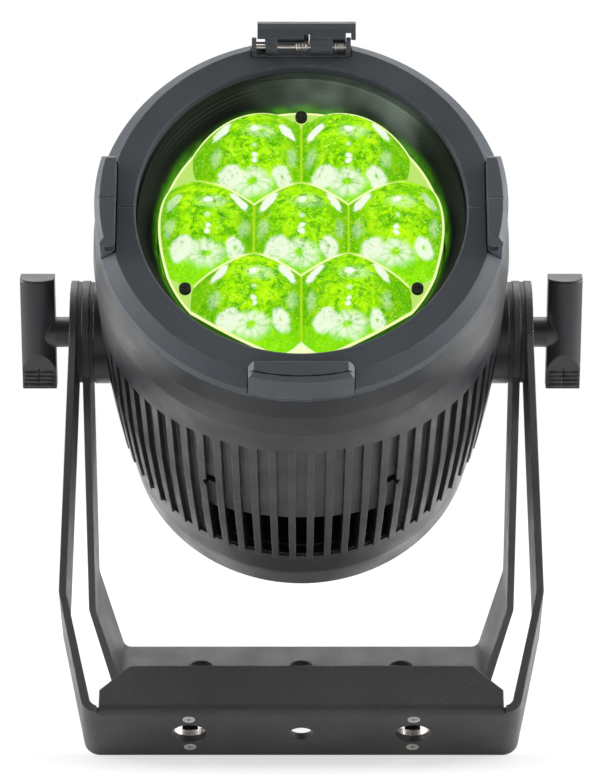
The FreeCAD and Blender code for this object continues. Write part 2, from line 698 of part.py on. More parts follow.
def fan_rotor():
    cup = ring(20.0, 17.0, (-61.8, -46.0)).fuse(disc(20.0, (-46.0, -43.6)))
    shaft = disc(1.5, (-62.7, -45.0))
    blades = []
    for angle in range(0, 360, 45):
        blade = box((18.5, 55.5), (-11.5, 11.5), (-0.8, 0.8))
        blade = moved(turned(blade, 33, X_AXIS), z=-53.5)
        blades.append(turned(blade.common(disc(56.0, (-62, -45))), angle))
    return joined([cup, shaft] + blades).cut(ring(17.0, 1.5, (-61.8, -46.0)))


def fan_screws():
    corners = [(x, y) for x in (-52.5, 52.5) for y in (-52.5, 52.5)]
    return [moved(screw(2.0, 36.5, 3.8, 2.6), x, y, -41.95) for x, y in corners]


# ---- rear chamber -----------------------------------------------------------------------------
COVER_SCREW_RADIAL = 84.0
COVER_SCREW_ANGLES = [22.5 + 45 * index for index in range(8)]
DISPLAY_Y = 34.0
BUTTON_Y = 2.0
BUTTON_XS = [-27.0, -9.0, 9.0, 27.0]
BUTTON_RADIUS = 5.0
# x, y, radius and number of contacts: power in, power out, data in, data out
SOCKETS = [(-54.0, -36.0, 13.5, 3), (-18.5, -46.0, 13.5, 3), (18.5, -46.0, 11.0, 5), (54.0, -36.0, 11.0, 5)]


def rear_bulkhead():
    """Plate that closes the dry rear chamber, with spacers for the fan and posts for the rear cover."""
    plate = disc(99.2, BULKHEAD)
    posts = [disc(4.0, (-129.9, BULKHEAD[1]), *polar(COVER_SCREW_RADIAL, a)) for a in COVER_SCREW_ANGLES]
    spacers = [ring(4.5, 2.02, (BULKHEAD[1], -66.05), x, y) for x in (-52.5, 52.5) for y in (-52.5, 52.5)]
    plate = joined([plate] + spacers + posts)
    tools = [disc(1.92, (-131, -112), *polar(COVER_SCREW_RADIAL, angle)) for angle in COVER_SCREW_ANGLES]
    tools += [disc(2.02, (-82, -60), x, y) for x in (-52.5, 52.5) for y in (-52.5, 52.5)]
    tools += [disc(1.6, (-82, -70), *polar(BULKHEAD_SCREW_RADIAL, angle)) for angle in range(0, 360, 60)]
    tools.append(disc(4.2, (-82, -70), *polar(CABLE_RADIAL, CABLE_ANGLE)))
    return cut_all(plate, tools)


def bulkhead_screws():
    return screw_ring(screw(1.5, 5.6, 2.2, 1.8), BULKHEAD_SCREW_RADIAL, range(0, 360, 60), BULKHEAD[1] + 0.05)


def cable_grommet():
    x, y = polar(CABLE_RADIAL, CABLE_ANGLE)
    collars = [ring(6.5, 2.65, (BULKHEAD[1] + 0.05, BULKHEAD[1] + 2.0), x, y),
               ring(6.5, 2.65, (BULKHEAD[0] - 2.0, BULKHEAD[0] - 0.05), x, y)]
    return joined([ring(4.15, 2.65, (BULKHEAD[0] - 2.0, BULKHEAD[1] + 2.0), x, y)] + collars)


def power_supply():
    """Power supply board with its transformer, capacitors, coil and heat clips."""
    board = plate_z(rectangle(140, 78, 0, -28), 2.0, (-90.6, -89.0))
    parts = [board, box((-62, -32), (-50, -20), (-112, -90)), box((-24, 6), (-48, -30), (-104, -90)),
             box((40, 68), (-46, -38), (-110, -90)), box((-20, 20), (-8, 4), (-100, -90))]
    parts.append(disc(8.5, (-116, -90), 20.0, -34))
    parts += [disc(5.0, (-108, -90), x, -14) for x in (34.0, 46.0, 58.0)]
    posts = [disc(2.6, (-89.5, BULKHEAD[0] - 0.05), x, y) for x in (-64, 64) for y in (-60, 4)]
    return joined(parts + posts)


def control_board():
    """Board behind the display, with the button switches."""
    board = plate_z(rectangle(96, 66, 0, 20), 2.0, (-119.6, -118.0))
    switches = [box((x - 3, x + 3), (BUTTON_Y - 3, BUTTON_Y + 3), (-122.6, -119.6)) for x in BUTTON_XS]
    chip = box((-8, 8), (12, 28), (-118.0, -116.0))
    posts = [disc(2.6, (-129.95, -119.6), x, y) for x in (-43.0, 43.0) for y in (-9.0, 49.0)]
    return joined([board, chip] + switches + posts)


def rear_cover():
    """Dished rear cover with the panel openings."""
    cover = revolved([(0, REAR_FACE), (89.0, REAR_FACE), (95.0, -131.4), (99.4, -128.2),
                      (101.2, BODY_END - 0.1), (97.6, BODY_END - 0.1), (96.2, -127.2),
                      (92.0, -129.6), (88.0, -130.0), (0, -130.0)])
    tools = [plate_z(rectangle(66.4, 30.4, 0, DISPLAY_Y), 3.2, (-140, -120))]
    tools += [disc(BUTTON_RADIUS, (-140, -120), x, BUTTON_Y) for x in BUTTON_XS]
    tools += [disc(radius - 2.5, (-140, -120), x, y) for x, y, radius, contacts in SOCKETS]
    tools += [disc(2.1, (-140, -120), *polar(COVER_SCREW_RADIAL, angle)) for angle in COVER_SCREW_ANGLES]
    tools += [disc(5.0, (-140, -120), 0, -74.0), disc(3.05, (-140, -120), 0, 70.0)]
    return cut_all(cover, tools)


def rear_gasket():
    return ring(98.2, 96.4, (BODY_END, BODY_END + 2.0))


def cover_screws():
    part = turned(screw(1.9, 13.0, 3.6, 2.4), 180, X_AXIS)
    return screw_ring(part, COVER_SCREW_RADIAL, COVER_SCREW_ANGLES, REAR_FACE - 0.05)


def display_frame():
    outer = plate_z(rectangle(74, 38, 0, DISPLAY_Y), 5.0, (REAR_FACE - 2.4, REAR_FACE - 0.05))
    collar = plate_z(rectangle(66, 30, 0, DISPLAY_Y), 3.0, (REAR_FACE - 1.0, -129.0))
    return outer.fuse(collar).cut(plate_z(rectangle(61, 25, 0, DISPLAY_Y), 2.0, (-140, -120)))


def display_window():
    return plate_z(rectangle(60.8, 24.8, 0, DISPLAY_Y), 1.9, (REAR_FACE - 1.2, REAR_FACE + 1.4))


def display_module():
    return box((-29, 29), (DISPLAY_Y - 11, DISPLAY_Y + 11), (-131.4, -119.65))


def panel_button(x):
    """Sealed push button that bears on its switch through a stem."""
    cap = disc(BUTTON_RADIUS - 0.06, (REAR_FACE - 1.8, REAR_FACE + 3.6), x, BUTTON_Y)
    dish = Part.makeSphere(18.0, V(x, BUTTON_Y, REAR_FACE - 1.8 - 17.3))
    flange = disc(BUTTON_RADIUS + 1.2, (-129.9, -129.0), x, BUTTON_Y)
    stem = disc(1.6, (-129.5, -123.5), x, BUTTON_Y)
    return joined([cap.cut(dish), flange, stem])


def panel_socket(x, y, radius, contacts):
    """Round locking socket with its square flange, contacts and rear body."""
    side = 2 * radius + 3
    flange = plate_z(rectangle(side, side, x, y), 3.5, (REAR_FACE - 2.6, REAR_FACE - 0.05))
    barrel = disc(radius - 2.6, (REAR_FACE - 1.0, -117.0), x, y)
    collar = disc(radius - 1.0, (REAR_FACE - 6.0, REAR_FACE - 1.0), x, y)
    socket = joined([flange, barrel, collar]).cut(disc(radius - 4.0, (REAR_FACE - 7, -127.0), x, y))
    pins = []
    for index in range(contacts):
        pin_x, pin_y = polar((radius - 4.0) * 0.55, 90 + index * 360 / contacts)
        pins.append(disc(1.1, (REAR_FACE - 3.0, -126.0), x + pin_x, y + pin_y))
    key = box((x - 1.0, x + 1.0), (y + radius - 5.4, y + radius - 3.4), (REAR_FACE - 5.4, -126.5))
    return joined([socket, key] + pins)


def breather_vent():
    body = disc(8.0, (REAR_FACE - 5.0, REAR_FACE - 0.05), 0, -74.0)
    stem = disc(4.95, (REAR_FACE - 1.0, -124.0), 0, -74.0)
    grooves = [box((-0.5, 0.5), (-84, -64), (REAR_FACE - 6, REAR_FACE - 4.2))]
    bars = [turned(grooves[0], angle, Z_AXIS, V(0, -74.0, 0)) for angle in (0, 60, 120)]
    return cut_all(body.fuse(stem), bars)


def safety_eye():
    """Eye for the safety cable, with its collar and nut."""
    loop = turned(Part.makeTorus(9.5, 2.6, V(0, 0, 0), Z_AXIS), 90, V(0, 1, 0))
    loop = moved(loop, 0, 70.0, REAR_FACE - 14.4)
    collar = disc(7.5, (REAR_FACE - 3.2, REAR_FACE - 0.05), 0, 70.0)
    stem = disc(3.0, (REAR_FACE - 4.0, -118.0), 0, 70.0)
    return joined([loop, collar, stem])


def safety_nut():
    corners = [(polar(6.4, a)[0], 70.0 + polar(6.4, a)[1]) for a in range(0, 360, 60)]
    return plate_z(corners, 0, (-129.9, -124.9)).cut(disc(3.02, (-135, -120), 0, 70.0))


# ---- yokes ---------------------------------------------------------------------------------------
QUICK_LOCK_X = 60.0
CENTRE_HOLE = 6.5
QUICK_LOCK_HOLE = 9.5
INNER_HOLE = 7.25
LOCK_SCREW_Y = 15.2
FLANGE_DEPTH = 28.2
FLANGE_HALF = 107.8
FLANGE_BEND = 5.0


def yoke_strap(half_width, kink, base_half, reach, bend):
    """Flat bar bent to a U: two straight arms that lean in below the kink."""
    bottom = reach + YOKE_PLATE / 2
    half = YOKE_WIDTH / 2

    def outline(inset):
        floor = -bottom + inset
        top = 60.0
        side = half_width - inset
        foot = base_half - inset
        return [V(-side, -half, top), V(-side, -half, -kink), V(-foot, -half, floor),
                V(foot, -half, floor), V(side, -half, -kink), V(side, -half, top)]

    depth = V(0, YOKE_WIDTH, 0)
    bar = prism(outline(0), [0, 12, bend, bend, 12, 0], depth)
    hollow = prism(outline(YOKE_PLATE), [0, 16, bend - YOKE_PLATE, bend - YOKE_PLATE, 16, 0], depth)
    bar = bar.cut(hollow).cut(box((-200, 200), (-50, 50), (0, 80)))
    ears = [rod_x(EAR_RADIUS, (half_width - YOKE_PLATE, half_width)),
            rod_x(EAR_RADIUS, (-half_width, -half_width + YOKE_PLATE))]
    return joined([bar] + ears).cut(rod_x(EAR_BORE, (-200, 200)))


def flange_edge():
    """Turned-up front edge of the outer base plate, with cut corners."""
    bottom = -OUTER_REACH - YOKE_PLATE / 2
    front = -YOKE_WIDTH / 2
    inner = front + YOKE_PLATE
    half = FLANGE_HALF
    top = bottom + FLANGE_DEPTH
    section = [V(-half, front + 12, bottom), V(-half, front + 12, bottom + YOKE_PLATE),
               V(-half, inner, bottom + YOKE_PLATE), V(-half, inner, top), V(-half, front, top),
               V(-half, front, bottom)]
    flange = prism(section, [0, 0, FLANGE_BEND - YOKE_PLATE, 0, 0, FLANGE_BEND], V(2 * half, 0, 0))
    corners = []
    for side in (1, -1):
        wedge = [V(side * (half - 16.2), front - 2, top), V(side * half, front - 2, top - 15),
                 V(side * (half + 9), front - 2, top - 15), V(side * (half + 9), front - 2, top + 5),
                 V(side * (half - 16.2), front - 2, top + 5)]
        corners.append(prism(wedge, 0, V(0, 8, 0)))
    return cut_all(flange, corners)


def outer_yoke():
    bottom = -OUTER_REACH - YOKE_PLATE / 2
    front = -YOKE_WIDTH / 2
    half = FLANGE_HALF
    strap = yoke_strap(OUTER_EAR + YOKE_PLATE, 187.0, 116.0, OUTER_REACH, 9.0)
    seat = box((-half, half), (front - 1, front + 12), (bottom - 1, bottom + 8))
    reliefs = [box((x, x + 1.2), (front - 1, front + 2), (bottom - 1, bottom + 8))
               for x in (-half - 1.2, half)]
    yoke = joined([cut_all(strap, [seat] + reliefs), flange_edge()])
    depth = (bottom - 5, bottom + 15)
    holes = [disc(CENTRE_HOLE, depth)]
    for x in (-QUICK_LOCK_X, QUICK_LOCK_X):
        holes.append(disc(QUICK_LOCK_HOLE, depth, x, 0))
        for y in (-LOCK_SCREW_Y, LOCK_SCREW_Y):
            holes.append(disc(1.7, depth, x, y))
            holes.append(Part.makeCone(3.6, 1.7, 1.9, V(x, y, bottom), Z_AXIS))
    return cut_all(yoke, holes)


def inner_yoke():
    yoke = yoke_strap(INNER_EAR + YOKE_PLATE, 170.0, 110.4, INNER_REACH, 9.0)
    depth = (-INNER_REACH - 10, -INNER_REACH + 10)
    holes = [disc(INNER_HOLE, depth, x, 0) for x in (-QUICK_LOCK_X, 0, QUICK_LOCK_X)]
    return cut_all(yoke, holes)


def lock_socket(x):
    """Quarter-turn ring behind its hole in the outer yoke."""
    inside = -OUTER_REACH + YOKE_PLATE / 2 + 0.02
    plate = plate_z(rectangle(30, 36, x, 0), 6.0, (inside, inside + 1.6))
    collar = disc(12.6, (inside + 1.6, inside + 3.4), x, 0)
    bore = disc(QUICK_LOCK_HOLE + 0.1, (inside - 1, inside + 8.8), x, 0)
    screws = [disc(1.52, (inside - 1, inside + 5), x, y) for y in (-LOCK_SCREW_Y, LOCK_SCREW_Y)]
    return cut_all(plate.fuse(collar), [bore] + screws)


def lock_detent(x):
    """Spring tab that stands on the ring's far side and stops the fastener turning back."""
    foot = -OUTER_REACH + YOKE_PLATE / 2 + 3.45
    leg = box((x - 4.2, x + 4.2), (QUICK_LOCK_HOLE + 0.6, QUICK_LOCK_HOLE + 1.6), (foot, foot + 9.0))
    sole = box((x - 4.2, x + 4.2), (QUICK_LOCK_HOLE + 0.6, QUICK_LOCK_HOLE + 3.0), (foot, foot + 1.0))
    return leg.fuse(sole).removeSplitter()


def lock_screws():
    parts = []
    bottom = -OUTER_REACH - YOKE_PLATE / 2
    for x in (-QUICK_LOCK_X, QUICK_LOCK_X):
        for y in (-LOCK_SCREW_Y, LOCK_SCREW_Y):
            head = Part.makeCone(3.4, 1.6, 1.8, V(x, y, bottom + 0.1), Z_AXIS)
            cross = [box((x - 1.9, x + 1.9), (y - 0.35, y + 0.35), (bottom - 1, bottom + 1.0)),
                     box((x - 0.35, x + 0.35), (y - 1.9, y + 1.9), (bottom - 1, bottom + 1.0))]
            parts.append(cut_all(head.fuse(disc(1.5, (bottom + 1.8, bottom + 7.6), x, y)), cross))
    return parts


# ---- tilt locks -------------------------------------------------------------------------------
KNOB_HALF_LENGTH = 34.0
KNOB_LEAN = 18.0
KNOB_MIDDLE = sum(KNOB_BAR) / 2
KNOB_STEM_RADIUS = 8.7
THUMB_TOP = -11.0


def handle_bar():
    """Flat-backed bar with a bowed front, cut to a sloping flat for the thumb at its lower end."""
    x_low, x_high = KNOB_BAR
    back = 6.0
    side = -4.0
    crown = -8.4
    corners = [V(x_low, back, 0), V(x_low, side, 0), V(x_high, side, 0), V(x_high, back, 0)]
    bow = Part.Arc(corners[1], V(KNOB_MIDDLE, crown, 0), corners[2]).toShape()
    sides = [Part.makeLine(corners[0], corners[1]), bow, Part.makeLine(corners[2], corners[3]),
             Part.makeLine(corners[3], corners[0])]
    bar = Part.Face(Part.Wire(sides)).extrude(V(0, 0, 2 * KNOB_HALF_LENGTH))
    bar = moved(bar, z=-KNOB_HALF_LENGTH)
    bar = bar.makeFillet(1.4, [edge for edge in bar.Edges if edge.Length < 60 and edge.Length > 12])
    slope = [V(x_low - 2, crown - 1, THUMB_TOP), V(x_low - 2, crown, THUMB_TOP),
             V(x_low - 2, side + 0.6, THUMB_TOP - 12), V(x_low - 2, side + 1.2, -KNOB_HALF_LENGTH - 1),
             V(x_low - 2, crown - 1, -KNOB_HALF_LENGTH - 1)]
    return bar.cut(prism(slope, 0, V(x_high - x_low + 4, 0, 0)))


def tilt_knob():
    """T-handle, right-hand side, with five ribs across its thumb flat."""
    x_low, x_high = KNOB_BAR
    bar = handle_bar()
    ribs = []
    for index in range(5):
        z = -KNOB_HALF_LENGTH + 1.6 + 2.5 * index
        ribs.append(box((x_low + 2.0, x_high - 1.0), (-3.9, 1.0), (z, z + 1.3)))
    neck = Part.makeCone(KNOB_STEM_RADIUS, KNOB_STEM_RADIUS - 1.4, 9.0, V(x_low, 0, 0), X_AXIS)
    stem = rod_x(KNOB_STEM_RADIUS, (KNOB_STEM[0], KNOB_STEM[1]))
    knob = joined([bar, stem, neck.common(box((130, 170), (-9, 5.9), (-20, 20)))] + ribs)
    groove = box((KNOB_MIDDLE - 0.4, KNOB_MIDDLE + 0.4), (-9, -2.8), (-36, -21.0))
    knob = cut_all(knob, [groove, rod_x(5.05, (130, 153)), rod_x(STUD_RADIUS + 0.1, (130, 134.2))])
    return turned(knob, KNOB_LEAN, X_AXIS)


def outer_friction_disc():
    return tube_x(EAR_RADIUS - 0.5, EAR_BORE + 0.1, (124.9, 127.5))


def inner_friction_disc():
    return tube_x(EAR_RADIUS - 0.7, EAR_BORE + 0.05, (118.05, 120.7))


def knob_washer():
    return tube_x(13.0, EAR_BORE + 0.1, (131.65, 132.6))


# ---- assembly -----------------------------------------------------------------------------------
def both_sides(shapes):
    solids = shapes if isinstance(shapes, list) else [shapes]
    return [mirrored(solid) for solid in solids] + solids


def build_casing():
    add_head("body_shell", body_shell())
    add_head("inner_drum", inner_drum())
    add_head("pivot_bosses", both_sides(pivot_boss()))
    add_head("casing_screws", shell_screws() + both_sides(boss_screws()))
    add_head("pivot_studs", both_sides(pivot_stud()))
    add_head("inner_friction_discs", both_sides(inner_friction_disc()))


def build_bezel():
    upper, lower = bezel_halves()
    add_head("bezel_upper", upper)
    add_head("bezel_lower", lower)
    add_head("accessory_clips", [accessory_clip(angle) for angle in CLIP_ANGLES])
    add_head("latch_bracket", latch_bracket())
    add_head("latch_flap", latch_flap())
    add_head("latch_pin", latch_pin())
    add_head("latch_springs", latch_springs())
    add_head("bezel_screws", bezel_screws() + clip_screws() + latch_screws())


def build_optics():
    add_head("front_gasket", front_gasket())
    add_head("front_glass", front_glass())
    add_head("inner_barrel", inner_barrel())
    add_head("lens_plate", lens_plate())
    add_head("lens_screws", lens_screws())
    add_head("lens_carrier", lens_carrier())
    add_head("guide_bushes", guide_bushes() + [lead_nut()])
    add_head("guide_rods", guide_rods())
    add_head("lead_screw", lead_screw())
    add_head("zoom_motor", zoom_motor())
    add_head("light_pipes", light_pipes())
    add_head("pipe_holder", pipe_holder())


def build_engine():
    add_head("led_board", led_board())
    add_head("led_emitters", led_emitters())
    add_head("heatsink", heatsink())
    add_head("led_cable", led_cable())
    add_head("fan_frame", fan_frame())
    add_head("fan_stator", fan_stator())
    add_head("fan_bearings", fan_bearings())
    add_head("fan_rotor", fan_rotor())
    add_head("chassis_screws", led_board_screws() + heatsink_screws() + fan_screws() + bulkhead_screws())


def build_rear():
    add_head("rear_bulkhead", rear_bulkhead())
    add_head("power_supply", power_supply())
    add_head("control_board", [control_board(), display_module()])
    add_head("rear_cover", rear_cover())
    add_head("rear_seals", [rear_gasket(), cable_grommet()])
    add_head("cover_screws", cover_screws())
    add_head("display_frame", display_frame())
    add_head("display_window", display_window())
    for index, x in enumerate(BUTTON_XS):
        add_head("button_%d" % (index + 1), panel_button(x))
    add_head("panel_sockets", [panel_socket(*socket) for socket in SOCKETS])
    add_head("breather_vent", breather_vent())
    add_head("safety_eye", [safety_eye(), safety_nut()])


def build_yokes():
    add_outer("outer_yoke", outer_yoke())
    add_outer("lock_sockets", [lock_socket(x) for x in (-QUICK_LOCK_X, QUICK_LOCK_X)])
    add_outer("lock_detents", [lock_detent(x) for x in (-QUICK_LOCK_X, QUICK_LOCK_X)])
    add_outer("lock_screws", lock_screws())
    add_outer("outer_friction_discs", both_sides(outer_friction_disc()))
    add_outer("knob_washers", both_sides(knob_washer()))
    add_inner("inner_yoke", inner_yoke())
    knob = tilt_knob()
    add("knob_right", knob, 0)
    add("knob_left", mirrored(knob), 0)


def export():
    os.makedirs("parts", exist_ok=True)
    for name, shape in PIECES.items():
        shape.exportStep("parts/%s.step" % name)


build_casing()
build_bezel()
build_optics()
build_engine()
build_rear()
build_yokes()
export()
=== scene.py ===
import json
import math

import bpy
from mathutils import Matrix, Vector

# Studio picture of a zoom par can light.  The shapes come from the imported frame; this script
# gives every piece its finish and sets the floor, the lamps and the camera.
# Metres, in the frame's own axes: +Z up, -Y towards the viewer.  Places on the lenses and the
# barrel are in millimetres, across, up and along the beam from the tilt axis.

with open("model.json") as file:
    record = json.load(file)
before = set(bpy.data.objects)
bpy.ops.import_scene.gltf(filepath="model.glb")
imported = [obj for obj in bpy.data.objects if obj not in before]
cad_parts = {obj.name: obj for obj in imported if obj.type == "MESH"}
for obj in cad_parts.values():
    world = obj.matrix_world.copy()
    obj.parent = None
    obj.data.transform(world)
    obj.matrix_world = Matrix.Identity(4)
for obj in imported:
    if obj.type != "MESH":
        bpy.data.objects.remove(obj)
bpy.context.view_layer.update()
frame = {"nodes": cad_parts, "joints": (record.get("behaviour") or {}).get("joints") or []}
NODES = frame["nodes"]
JOINTS = {joint["name"]: joint for joint in frame["joints"]}

MM = 0.001
BEAM = Vector(JOINTS["zoom_slide"]["axis"]).normalized()      # the way the light shines
RIGHT = Vector((1, 0, 0))
HEAD_UP = RIGHT.cross(-BEAM).normalized()
PIVOT = Vector(JOINTS["head_tilt"]["pos_m"])
LENS_PITCH = 51.8                                              # mm between lens centres
LENS_RIM = 78.6                                                # mm, radius of the lens plate
DOME_RIM = 34.0                                                # mm, where a dome meets the plate
PLATE_FACE = 112.0                                             # mm along the beam, between domes
GLOW_START = 100.0                                             # mm along the beam, dark behind it


def srgb(red, green, blue):
    """Linear colour from 0-255 display values."""
    def linear(value):
        share = value / 255
        if share <= 0.04045:
            return share / 12.92
        return ((share + 0.055) / 1.055) ** 2.4
    return (linear(red), linear(green), linear(blue), 1.0)


class Shader:
    """A material's node tree, built with short calls that return sockets."""

    def __init__(self, name):
        self.material = bpy.data.materials.new(name)
        self.material.use_nodes = True
        self.tree = self.material.node_tree
        self.tree.nodes.clear()
        self.output = self.tree.nodes.new("ShaderNodeOutputMaterial")
        self.place = self.add("TexCoord").outputs["Object"]

    def add(self, kind, inputs=None, **settings):
        node = self.tree.nodes.new("ShaderNode" + kind)
        for key, value in settings.items():
            setattr(node, key, value)
        for key, value in (inputs or {}).items():
            self.put(node.inputs[key], value)
        return node

    def put(self, socket, value):
        if isinstance(value, bpy.types.NodeSocket):
            self.tree.links.new(value, socket)
        else:
            socket.default_value = value

    def math(self, operation, *values, clamp=False):
        node = self.add("Math", operation=operation, use_clamp=clamp)
        for socket, value in zip(node.inputs, values):
            self.put(socket, value)
        return node.outputs[0]

    def vector(self, operation, *values):
        node = self.add("VectorMath", operation=operation)
        for socket, value in zip(node.inputs, values):
            self.put(socket, value)
        scalar = operation in ("DOT_PRODUCT", "LENGTH", "DISTANCE")
        return node.outputs["Value" if scalar else "Vector"]

    def blend(self, share, low, high):
        """Colour between low and high."""
        node = self.add("Mix", data_type="RGBA", clamp_factor=True)
        self.put(node.inputs["Factor"], share)
        self.put(node.inputs[6], low)
        self.put(node.inputs[7], high)
        return node.outputs[2]

    def span(self, value, from_low, from_high, low=0.0, high=1.0):
        """Value carried from one range to another, smoothly, and held at its ends."""
        inputs = {"Value": value, "From Min": from_low, "From Max": from_high,
                  "To Min": low, "To Max": high}
        return self.add("MapRange", inputs, interpolation_type="SMOOTHSTEP").outputs[0]

    def noise(self, size, detail=2.0, rough=0.5, stretch=None, swirl=0.0):
        """Noise with spots about size metres across."""
        place = self.place
        if stretch:
            place = self.vector("MULTIPLY", place, stretch)
        inputs = {"Vector": place, "Scale": 1 / size, "Detail": detail, "Roughness": rough,
                  "Distortion": swirl}
        return self.add("TexNoise", inputs).outputs["Fac"]

    def rounded(self, radius):
        """Normal with the sharp edges softened over a radius."""
        return self.add("Bevel", {"Radius": radius}, samples=6).outputs[0]

    def edge(self, soft_normal):
        """1 on an exposed edge, 0 on a flat face."""
        flat = self.add("NewGeometry").outputs["Normal"]
        facing = self.vector("DOT_PRODUCT", soft_normal, flat)
        return self.span(facing, 0.999, 0.93)

    def bump(self, height, depth, normal=None):
        inputs = {"Height": height, "Distance": depth, "Strength": 1.0}
        if normal:
            inputs["Normal"] = normal
        return self.add("Bump", inputs).outputs[0]

    def finish(self, colour, roughness, normal=None, **extra):
        inputs = {"Base Color": colour, "Roughness": roughness}
        if normal:
            inputs["Normal"] = normal
        inputs.update({key.replace("_", " "): value for key, value in extra.items()})
        surface = self.add("BsdfPrincipled", inputs)
        self.put(self.output.inputs["Surface"], surface.outputs[0])
        return self.material


def head_place(s):
    """Millimetres across, up and along the beam, from the tilt axis."""
    away = s.vector("SUBTRACT", s.place, PIVOT)
    return [s.math("MULTIPLY", s.vector("DOT_PRODUCT", away, axis), 1 / MM)
            for axis in (RIGHT, HEAD_UP, BEAM)]


# ---- finishes ------------------------------------------------------------------------------
def painted(name, colour, wear_and_glint, grain, depth, roughness, round_edge=0.7 * MM, spread=0.12,
            sheen=0.5):
    """Powder coat or moulded plastic: fine grain, faint blotches, and lighter edges: paint wear on
    most finishes, a painted glint on the black screws.
    """
    s = Shader(name)
    soft = s.rounded(round_edge)
    fine = s.noise(grain, 3.0, 0.6)
    cloud = s.noise(45 * MM, 2.0)
    tone = s.math("ADD", s.math("MULTIPLY", fine, 0.5), s.math("MULTIPLY", cloud, 0.5))
    lighter = [value * (1 + spread) for value in colour[:3]] + [1.0]
    darker = [value * (1 - spread) for value in colour[:3]] + [1.0]
    body = s.blend(s.span(tone, 0.3, 0.7), darker, lighter)
    # Lighter edges broken by noise: paint wear, and a painted glint where the edge colour is pale,
    # as on the black screws.
    rub_and_glint = s.math("MULTIPLY", s.edge(soft), s.span(s.noise(6 * MM, 4.0), 0.35, 0.7))
    body = s.blend(s.math("MULTIPLY", rub_and_glint, 0.55), body, wear_and_glint)
    gloss = s.span(s.noise(18 * MM, 3.0), 0.3, 0.7, roughness - 0.05, roughness + 0.05)
    return s.finish(body, gloss, s.bump(fine, depth, soft), Specular_IOR_Level=sheen)


def metal(name, colour, roughness):
    """Turned, drawn or plated metal with fine marks and a little tarnish."""
    s = Shader(name)
    soft = s.rounded(0.25 * MM)
    marks = s.noise(0.5 * MM, 3.0, 0.7)
    stain = s.noise(9 * MM, 4.0, 0.6)
    aged = [value * 0.6 for value in colour[:3]] + [1.0]
    body = s.blend(s.span(stain, 0.4, 0.75), colour, aged)
    gloss = s.span(marks, 0.25, 0.75, roughness * 0.7, roughness * 1.4)
    return s.finish(body, gloss, s.bump(marks, 0.02 * MM, soft), Metallic=1.0)


def rubber(name, colour):
    """Matt rubber with a little pale dust."""
    s = Shader(name)
    grain = s.noise(0.35 * MM, 3.0, 0.7)
    dust = s.noise(8 * MM, 4.0)
    pale = [value * 2.2 + 0.01 for value in colour[:3]] + [1.0]
    body = s.blend(s.span(dust, 0.45, 0.8), colour, pale)
    gloss = s.span(dust, 0.3, 0.7, 0.55, 0.8)
    return s.finish(body, gloss, s.bump(grain, 0.03 * MM, s.rounded(0.3 * MM)))


def board(name):
    """Solder mask with faint tracks and pale pads."""
    s = Shader(name)
    cells = s.add("TexVoronoi", {"Vector": s.place, "Scale": 1 / (4 * MM)},
                  distance="CHEBYCHEV", feature="F1")
    tracks = s.span(cells.outputs["Distance"], 0.45, 0.5)
    mask = s.blend(s.noise(12 * MM, 3.0), srgb(10, 44, 26), srgb(16, 62, 38))
    body = s.blend(s.math("MULTIPLY", tracks, 0.6), mask, srgb(36, 98, 62))
    return s.finish(body, s.span(tracks, 0, 1, 0.35, 0.5), s.bump(tracks, 0.03 * MM))


def emitter(name):
    """A lit emitter: a pale yellow-green glow, a little uneven."""
    s = Shader(name)
    spots = s.noise(1.2 * MM, 2.0)
    glow = s.blend(spots, srgb(150, 255, 60), srgb(230, 255, 150))
    return s.finish(srgb(190, 190, 120), 0.4, Emission_Color=glow, Emission_Strength=1.5)


def clear(name, tint, roughness, share=1.0, film=0.008):
    """Glass or acrylic: a see-through pane with a mirror-like skin, clouded a little."""
    s = Shader(name)
    skin = s.math("MULTIPLY", s.add("Fresnel", {"IOR": 1.5}).outputs[0], share)
    haze = s.span(s.noise(30 * MM, 5.0, 0.7), 0.45, 0.8, 0.0, film)
    gloss = s.math("ADD", skin, haze, clamp=True)
    through = s.add("BsdfTransparent", {"Color": tint}).outputs[0]
    shine = s.add("BsdfGlossy", {"Color": (1, 1, 1, 1), "Roughness": roughness}).outputs[0]
    both = s.add("MixShader", {0: gloss, 1: through, 2: shine}).outputs[0]
    s.put(s.output.inputs["Surface"], both)
    return s.material


def length(s, x, y):
    """Distance of the point (x, y) from the origin."""
    return s.math("SQRT", s.math("ADD", s.math("MULTIPLY", x, x), s.math("MULTIPLY", y, y)))


def nearest_lens(s, across, up):
    """Place from the middle of the nearest of the seven lenses, its distance from there, the
    distance to a seam between lenses, and the distance from the middle of the plate."""
    radius = length(s, across, up)
    turn = s.math("DIVIDE", s.math("ARCTAN2", up, across), math.pi / 3)
    sixth = s.math("ROUND", turn)
    angle = s.math("MULTIPLY", sixth, math.pi / 3)
    centre_x = s.math("MULTIPLY", s.math("COSINE", angle), LENS_PITCH)
    centre_y = s.math("MULTIPLY", s.math("SINE", angle), LENS_PITCH)
    outer_distance = length(s, s.math("SUBTRACT", across, centre_x),
                            s.math("SUBTRACT", up, centre_y))
    in_ring = s.math("LESS_THAN", outer_distance, radius)
    x = s.math("SUBTRACT", across, s.math("MULTIPLY", centre_x, in_ring))
    y = s.math("SUBTRACT", up, s.math("MULTIPLY", centre_y, in_ring))
    half_turn = s.math("SUBTRACT", 0.5, s.math("ABSOLUTE", s.math("SUBTRACT", turn, sixth)))
    spoke = s.math("MULTIPLY", s.math("SINE", s.math("MULTIPLY", half_turn, math.pi / 3)), radius)
    hexagon = s.math("ABSOLUTE", s.math("SUBTRACT", radius, outer_distance))
    in_middle = s.math("MULTIPLY", s.math("SUBTRACT", 1.0, in_ring), 100.0)
    seam = s.math("MINIMUM", s.math("MULTIPLY", hexagon, 0.5), s.math("ADD", spoke, in_middle))
    return x, y, length(s, x, y), seam, radius


